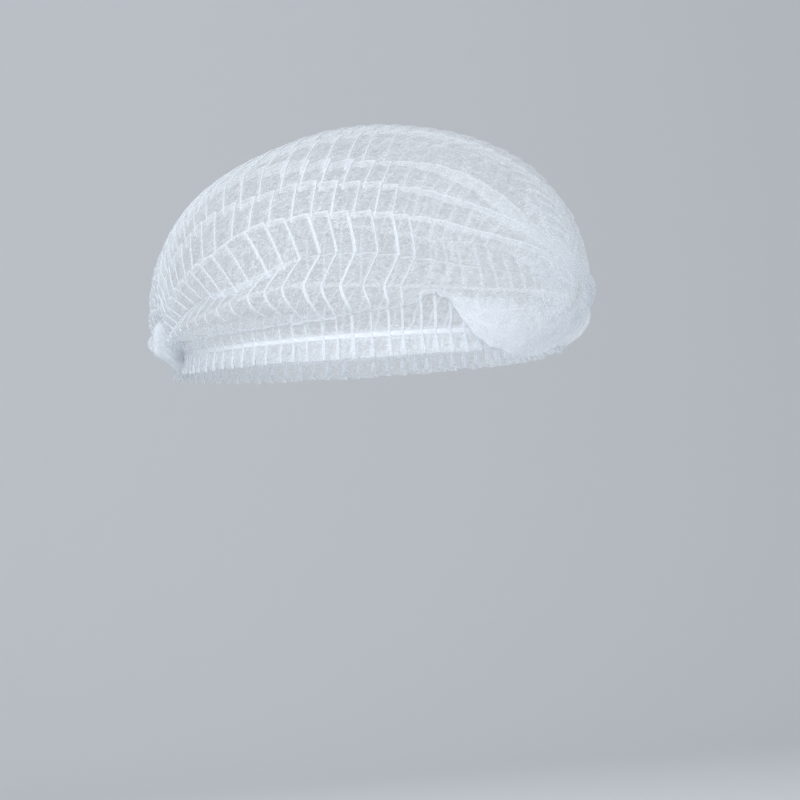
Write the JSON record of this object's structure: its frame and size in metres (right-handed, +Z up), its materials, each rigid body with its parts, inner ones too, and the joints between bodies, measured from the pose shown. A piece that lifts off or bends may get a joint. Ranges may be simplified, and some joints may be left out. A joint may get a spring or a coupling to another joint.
{
  "type": "disposable pleated mob cap",
  "caption": "Disposable pleated cap of non-woven fabric, in the shape it takes on a head, with an elastic brim at front and rear and a welded bunch of folds at each side.",
  "frame": {"origin": "centre of the head opening, in the plane of the two elastic threads, midway between the end welds", "axes": "-Y to the front of the cap, +X to the wearer's left, +Z up through the crown"},
  "size_m": [0.206, 0.206, 0.1131],
  "materials": {
    "crimped_sheet": "thin spunbond polypropylene non-woven, white and half see-through, crimped",
    "hem": "the same non-woven in two and three layers, so whiter",
    "weld": "the same non-woven, fused into a stiff bar",
    "elastic": "white covered elastic thread"
  },
  "bodies": {
    "crown": {"crown_sheet": "crimped_sheet", "front_gather": "crimped_sheet", "rear_gather": "crimped_sheet", "left_end_weld": "weld", "right_end_weld": "weld", "left_end_frill": "crimped_sheet", "right_end_frill": "crimped_sheet"},
    "front_brim": {"front_hem": "hem", "front_header": "hem", "front_elastic": "elastic"},
    "rear_brim": {"rear_hem": "hem", "rear_header": "hem", "rear_elastic": "elastic"}
  },
  "joints": [
    {"name": "front_brim_lift", "type": "hinge", "parent": "crown", "child": "front_brim", "pos_m": [0, 0, 0], "axis": [-1, 0, 0], "range_deg": [-10, 30], "deforming": ["front_gather"]},
    {"name": "rear_brim_lift", "type": "hinge", "parent": "crown", "child": "rear_brim", "pos_m": [0, 0, 0], "axis": [1, 0, 0], "range_deg": [-10, 30], "deforming": ["rear_gather"]}
  ]
}
